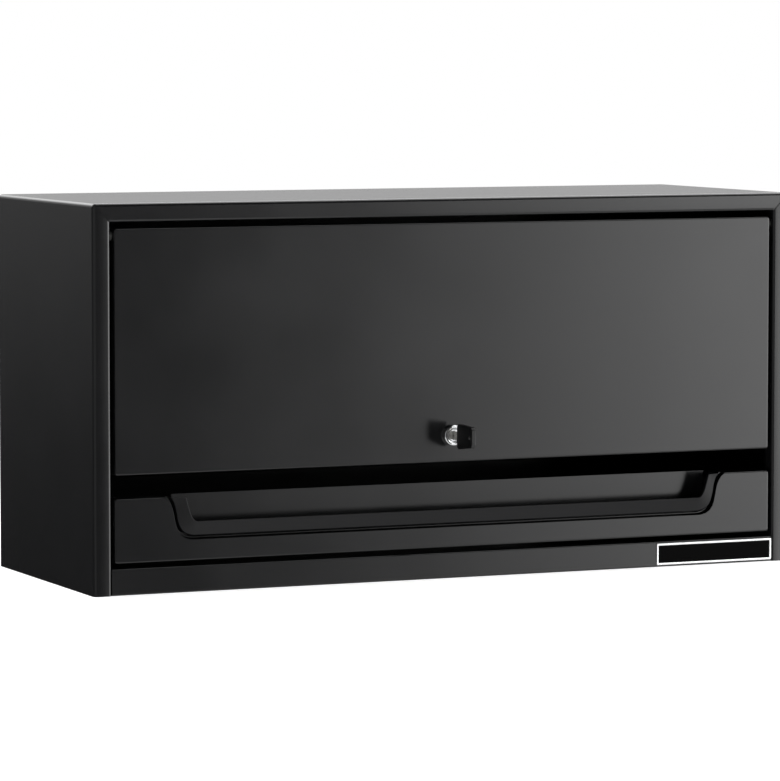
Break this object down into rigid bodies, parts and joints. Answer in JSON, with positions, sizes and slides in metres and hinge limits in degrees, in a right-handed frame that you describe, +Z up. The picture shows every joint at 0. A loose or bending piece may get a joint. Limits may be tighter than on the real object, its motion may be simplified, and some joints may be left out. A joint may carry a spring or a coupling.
{
  "type": "top tool chest",
  "caption": "Steel top tool chest: case with a fold-up door on gas struts and a cam lock, over a full-width drawer with a recessed pull on ball-bearing runners.",
  "frame": {"origin": "middle of the case's underside, on the surface the chest stands on", "axes": "+X along the width, to the right as seen from the front; +Y to the back, square to the back face; +Z up"},
  "size_m": [0.73, 0.319, 0.365],
  "materials": {
    "case_paint": "smooth satin black powder coat",
    "door_paint": "smooth satin black powder coat",
    "pocket_paint": "satin black powder coat",
    "strip_paint": "satin black",
    "strut_paint": "gloss black",
    "bright_steel": "hard chrome, polished",
    "zinc": "bright zinc plate",
    "lock_chrome": "bright chrome",
    "plate_metal": "thin bright rim round a dark satin field",
    "key_metal": "nickel plate",
    "key_plastic": "fine matte black plastic",
    "spacer_plastic": "natural nylon",
    "rubber": "matte rubber",
    "liner_foam": "ribbed matte liner"
  },
  "bodies": {
    "root": {"outer_shell": "case_paint", "floor_pan": "case_paint", "back_panel": "case_paint", "divider_shelf": "case_paint", "door_bumper_left": "rubber", "door_bumper_right": "rubber", "rail_plate": "plate_metal", "hinge_pin_left": "zinc", "hinge_pin_right": "zinc", "hinge_spacer_left": "spacer_plastic", "hinge_spacer_right": "spacer_plastic", "strut_case_bracket_left": "zinc", "strut_case_bracket_right": "zinc", "strut_pin_left": "zinc", "strut_pin_right": "zinc", "runner_bracket_left": "case_paint", "runner_bracket_right": "case_paint", "runner_outer_left": "zinc", "runner_outer_right": "zinc"},
    "door": {"door_skin": "door_paint", "door_stiffener_left": "case_paint", "door_stiffener_right": "case_paint", "strut_door_bracket_left": "zinc", "strut_door_bracket_right": "zinc", "strut_stud_left": "zinc", "strut_stud_right": "zinc", "lock_barrel": "lock_chrome", "lock_nut": "zinc"},
    "lock_rotor": {"lock_plug": "lock_chrome", "lock_cam": "zinc", "cam_screw": "zinc"},
    "key": {"key_blade": "key_metal", "key_bow": "key_plastic"},
    "drawer": {"drawer_front": "door_paint", "handle_pocket": "pocket_paint", "pull_strip": "strip_paint", "drawer_tray": "case_paint", "drawer_liner": "liner_foam", "runner_inner_left": "zinc", "runner_inner_right": "zinc", "front_screw_1": "zinc", "front_screw_2": "zinc", "front_screw_3": "zinc", "front_screw_4": "zinc"},
    "middle_runner_left": {"runner_middle_left": "zinc"},
    "middle_runner_right": {"runner_middle_right": "zinc"},
    "strut_left": {"strut_tube_left": "strut_paint"},
    "strut_right": {"strut_tube_right": "strut_paint"},
    "rod_left": {"strut_rod_left": "bright_steel"},
    "rod_right": {"strut_rod_right": "bright_steel"}
  },
  "joints": [
    {"name": "door_hinge", "type": "hinge", "parent": "root", "child": "door", "pos_m": [0, -0.125, 0.335], "axis": [-1, 0, 0], "range_deg": [0, 90]},
    {"name": "drawer_slide", "type": "slide", "parent": "root", "child": "drawer", "axis": [0, -1, 0], "range_m": [0, 0.21]},
    {"name": "middle_runner_left_slide", "type": "slide", "parent": "root", "child": "middle_runner_left", "axis": [0, -1, 0], "range_m": [0, 0.105]},
    {"name": "middle_runner_right_slide", "type": "slide", "parent": "root", "child": "middle_runner_right", "axis": [0, -1, 0], "range_m": [0, 0.105]},
    {"name": "lock_turn", "type": "hinge", "parent": "door", "child": "lock_rotor", "pos_m": [0, -0.135, 0.138], "axis": [0, 1, 0], "range_deg": [0, 90]},
    {"name": "key_slide", "type": "slide", "parent": "lock_rotor", "child": "key", "axis": [0, -1, 0], "range_m": [0, 0.024]},
    {"name": "strut_left_swing", "type": "hinge", "parent": "root", "child": "strut_left", "pos_m": [-0.321, -0.015, 0.185], "axis": [1, 0, 0], "range_deg": [0, 10.8]},
    {"name": "strut_right_swing", "type": "hinge", "parent": "root", "child": "strut_right", "pos_m": [0.321, -0.015, 0.185], "axis": [1, 0, 0], "range_deg": [0, 10.8]},
    {"name": "rod_left_slide", "type": "slide", "parent": "strut_left", "child": "rod_left", "axis": [0, -0.6317, 0.7752], "range_m": [0, 0.0596]},
    {"name": "rod_right_slide", "type": "slide", "parent": "strut_right", "child": "rod_right", "axis": [0, -0.6317, 0.7752], "range_m": [0, 0.0596]}
  ],
  "couplings": [
    {"joint": "middle_runner_left_slide", "follows": "drawer_slide", "ratio": 0.5},
    {"joint": "middle_runner_right_slide", "follows": "drawer_slide", "ratio": 0.5},
    {"joint": "strut_left_swing", "follows": "door_hinge", "ratio": 0.11917},
    {"joint": "strut_right_swing", "follows": "door_hinge", "ratio": 0.11917},
    {"joint": "rod_left_slide", "follows": "door_hinge", "m_per_rad": 0.037817},
    {"joint": "rod_right_slide", "follows": "door_hinge", "m_per_rad": 0.037817}
  ]
}
